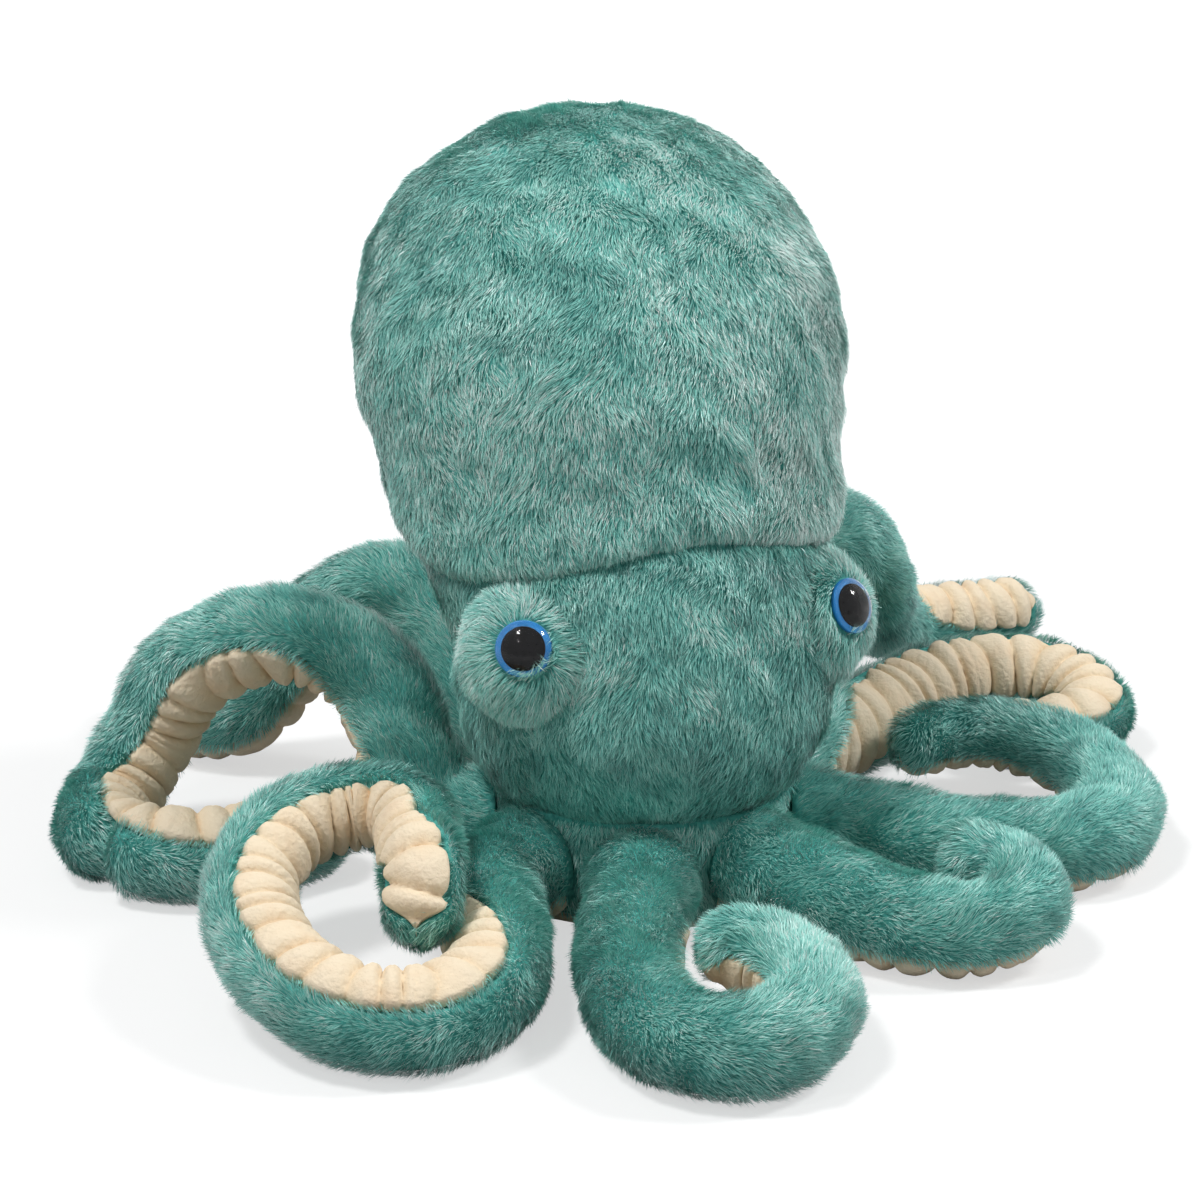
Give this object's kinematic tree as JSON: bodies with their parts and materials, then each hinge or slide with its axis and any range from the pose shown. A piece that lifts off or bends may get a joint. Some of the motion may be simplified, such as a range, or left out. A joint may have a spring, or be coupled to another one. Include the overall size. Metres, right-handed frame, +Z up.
{
  "type": "plush octopus",
  "caption": "Stuffed octopus soft toy with a tall rounded head, padded eyes and curled arms with pale puckered undersides; sits on a flat foot.",
  "frame": {"origin": "middle of the flat eight-sided foot, on the surface that the toy sits on", "axes": "+Z up through the head; -Y is the way the face looks; left in a name is the viewer's left, at -X"},
  "size_m": [0.4082, 0.3924, 0.253],
  "materials": {
    "teal_plush": "long pile plush",
    "cream_velour": "short pile, puckered",
    "stuffing": "loose polyester fibre",
    "eye_iris": "gloss, blue",
    "eye_pupil": "gloss, black",
    "eye_lens": "clear, polished",
    "eye_washer": "natural"
  },
  "bodies": {
    "body": {"head_cover": "teal_plush", "face_cover": "teal_plush", "foot_band": "teal_plush", "foot_panel": "cream_velour", "body_stuffing": "stuffing", "eye_mound_left_cover": "teal_plush", "eye_mound_left_stuffing": "stuffing", "eye_left_iris": "eye_iris", "eye_left_pupil": "eye_pupil", "eye_left_lens": "eye_lens", "eye_left_washer": "eye_washer", "eye_mound_right_cover": "teal_plush", "eye_mound_right_stuffing": "stuffing", "eye_right_iris": "eye_iris", "eye_right_pupil": "eye_pupil", "eye_right_lens": "eye_lens", "eye_right_washer": "eye_washer"},
    "arm_front_left": {"arm_front_left_cover": "teal_plush", "arm_front_left_underside": "cream_velour", "arm_front_left_stuffing": "stuffing"},
    "arm_front_right": {"arm_front_right_cover": "teal_plush", "arm_front_right_underside": "cream_velour", "arm_front_right_stuffing": "stuffing"},
    "arm_side_left": {"arm_side_left_cover": "teal_plush", "arm_side_left_underside": "cream_velour", "arm_side_left_stuffing": "stuffing"},
    "arm_side_right": {"arm_side_right_cover": "teal_plush", "arm_side_right_underside": "cream_velour", "arm_side_right_stuffing": "stuffing"},
    "arm_rear_left": {"arm_rear_left_cover": "teal_plush", "arm_rear_left_underside": "cream_velour", "arm_rear_left_stuffing": "stuffing"},
    "arm_rear_right": {"arm_rear_right_cover": "teal_plush", "arm_rear_right_underside": "cream_velour", "arm_rear_right_stuffing": "stuffing"},
    "arm_back_left": {"arm_back_left_cover": "teal_plush", "arm_back_left_underside": "cream_velour", "arm_back_left_stuffing": "stuffing"},
    "arm_back_right": {"arm_back_right_cover": "teal_plush", "arm_back_right_underside": "cream_velour", "arm_back_right_stuffing": "stuffing"}
  },
  "joints": [
    {"name": "front_left_arm_lift", "type": "hinge", "parent": "body", "child": "arm_front_left", "pos_m": [-0.01896, -0.04577, 0.0376], "axis": [-0.9239, 0.3827, 0], "range_deg": [0, 45]},
    {"name": "front_right_arm_lift", "type": "hinge", "parent": "body", "child": "arm_front_right", "pos_m": [0.01896, -0.04577, 0.0376], "axis": [-0.9239, -0.3827, 0], "range_deg": [0, 40]},
    {"name": "side_left_arm_lift", "type": "hinge", "parent": "body", "child": "arm_side_left", "pos_m": [-0.04577, -0.01896, 0.0376], "axis": [-0.3827, 0.9239, 0], "range_deg": [0, 40]},
    {"name": "side_right_arm_lift", "type": "hinge", "parent": "body", "child": "arm_side_right", "pos_m": [0.04577, -0.01896, 0.0376], "axis": [-0.3827, -0.9239, 0], "range_deg": [0, 40]},
    {"name": "rear_left_arm_lift", "type": "hinge", "parent": "body", "child": "arm_rear_left", "pos_m": [-0.04577, 0.01896, 0.0376], "axis": [0.3827, 0.9239, 0], "range_deg": [0, 25]},
    {"name": "rear_right_arm_lift", "type": "hinge", "parent": "body", "child": "arm_rear_right", "pos_m": [0.04577, 0.01896, 0.0376], "axis": [0.3827, -0.9239, 0], "range_deg": [0, 20]},
    {"name": "back_left_arm_lift", "type": "hinge", "parent": "body", "child": "arm_back_left", "pos_m": [-0.01896, 0.04577, 0.0376], "axis": [0.9239, 0.3827, 0], "range_deg": [0, 35]},
    {"name": "back_right_arm_lift", "type": "hinge", "parent": "body", "child": "arm_back_right", "pos_m": [0.01896, 0.04577, 0.0376], "axis": [0.9239, -0.3827, 0], "range_deg": [0, 30]}
  ]
}
